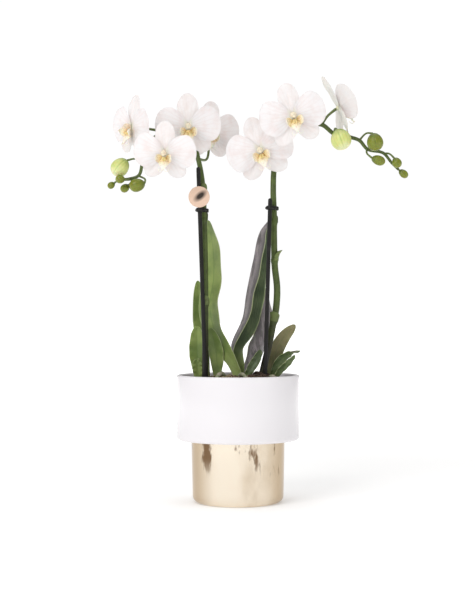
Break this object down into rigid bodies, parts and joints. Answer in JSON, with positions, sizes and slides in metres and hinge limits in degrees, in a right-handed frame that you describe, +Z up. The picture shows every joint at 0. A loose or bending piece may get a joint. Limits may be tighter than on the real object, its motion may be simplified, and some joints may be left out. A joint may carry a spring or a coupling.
{
  "type": "potted orchid",
  "caption": "Moth orchid with clipped flower spikes, white flowers and buds, growing in bark in a nursery pot inside a stepped ceramic cover pot.",
  "frame": {"origin": "centre of the flat underside of the cover pot", "axes": "+Z up along the pot's axis, -Y towards the front that the flowers face, +X to the right of someone who looks at the front"},
  "size_m": [0.2802, 0.114, 0.3953],
  "materials": {
    "pot_ceramic": "gloss white glaze above, champagne gold lustre on the foot",
    "nursery_plastic": "smoky translucent",
    "bark": "rough dry bark chips",
    "stem": "smooth green plant stem",
    "stake_plastic": "satin black",
    "tag_card": "matt card",
    "leaf": "waxy satin green, purple-grey below",
    "air_root": "dull silvery root skin",
    "bud": "satin pale green",
    "petal": "soft satin white",
    "sepal": "soft satin white",
    "lip": "soft satin cream and yellow"
  },
  "bodies": {
    "root": {"cover_pot": "pot_ceramic", "nursery_pot": "nursery_plastic", "bark_mix": "bark", "spike_left": "stem", "spike_right": "stem", "stake_left": "stake_plastic", "stake_right": "stake_plastic", "clip_left": "stake_plastic", "clip_right": "stake_plastic", "round_tag": "tag_card", "leaf_tall_left": "leaf", "leaf_tall_right": "leaf", "leaf_curved_right": "leaf", "leaf_left_front": "leaf", "leaf_left_back": "leaf", "leaf_left_inner": "leaf", "leaf_left_small": "leaf", "leaf_right_olive": "leaf", "leaf_right_twisted": "leaf", "leaf_right_low": "leaf", "leaf_centre_short": "leaf", "air_root_1": "air_root", "air_root_2": "air_root", "air_root_3": "air_root", "air_root_4": "air_root", "bud_right_1": "bud", "bud_right_2": "bud", "bud_right_3": "bud", "bud_right_4": "bud", "bud_right_5": "bud", "bud_left_1": "bud", "bud_left_2": "bud", "bud_left_3": "bud", "bud_left_4": "bud", "bud_left_5": "bud", "flower_a_petals": "petal", "flower_a_sepals": "sepal", "flower_a_lip": "lip", "flower_b_petals": "petal", "flower_b_sepals": "sepal", "flower_b_lip": "lip", "flower_c_petals": "petal", "flower_c_sepals": "sepal", "flower_c_lip": "lip", "flower_d_petals": "petal", "flower_d_sepals": "sepal", "flower_d_lip": "lip", "flower_e_petals": "petal", "flower_e_sepals": "sepal", "flower_e_lip": "lip", "flower_f_petals": "petal", "flower_f_sepals": "sepal", "flower_f_lip": "lip", "flower_g_petals": "petal", "flower_g_sepals": "sepal", "flower_g_lip": "lip"}
  },
  "joints": []
}
